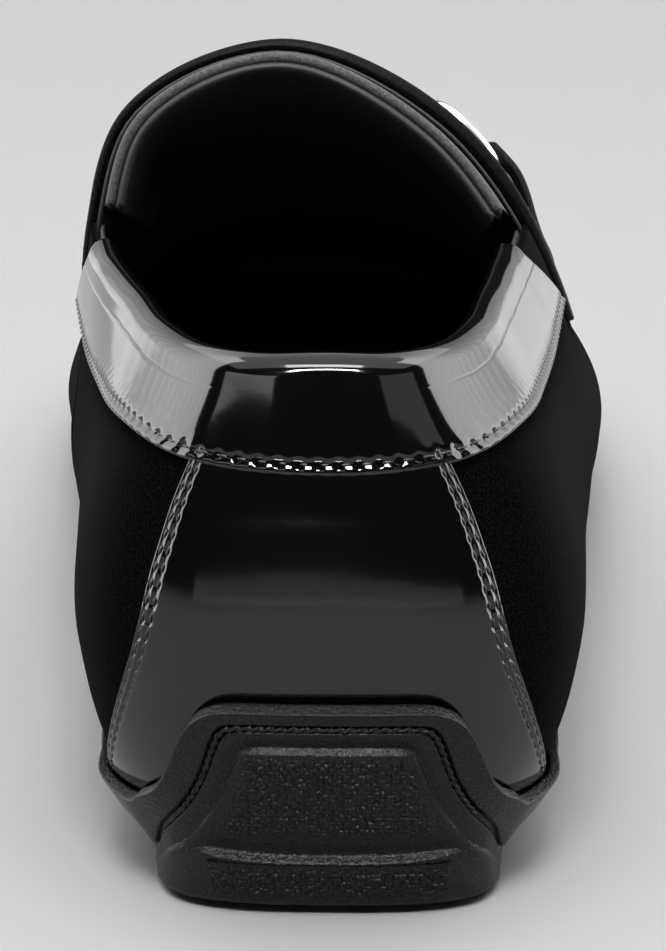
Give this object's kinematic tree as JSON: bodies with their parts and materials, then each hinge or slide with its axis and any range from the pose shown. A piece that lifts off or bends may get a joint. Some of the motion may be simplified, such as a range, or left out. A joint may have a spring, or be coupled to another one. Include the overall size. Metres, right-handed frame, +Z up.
{
  "type": "bit loafer",
  "caption": "Slip-on loafer for a right foot: hollow velvet upper with patent heel panel, collar band and instep strap with a metal bit, on a low rubber driving sole with a raised heel tab.",
  "frame": {"origin": "middle of the bottom of the bounding box, on the floor the sole stands on", "axes": "+Y towards the toe, +X towards the outer side of the foot, +Z up"},
  "size_m": [0.1006, 0.2966, 0.101],
  "materials": {
    "rubber": "matt with a fine grain",
    "velvet": "short black nap",
    "lining": "matt black lining",
    "patent": "high gloss black patent",
    "metal": "polished silver"
  },
  "bodies": {
    "root": {"outsole": "rubber", "upper": "velvet", "insole": "lining", "tongue": "lining", "heel_counter": "patent", "collar_band": "patent", "saddle_strap": "patent", "bit_bar": "metal", "bit_ring_medial": "metal", "bit_ring_lateral": "metal", "bit_keeper_medial": "patent", "bit_keeper_lateral": "patent"}
  },
  "joints": []
}
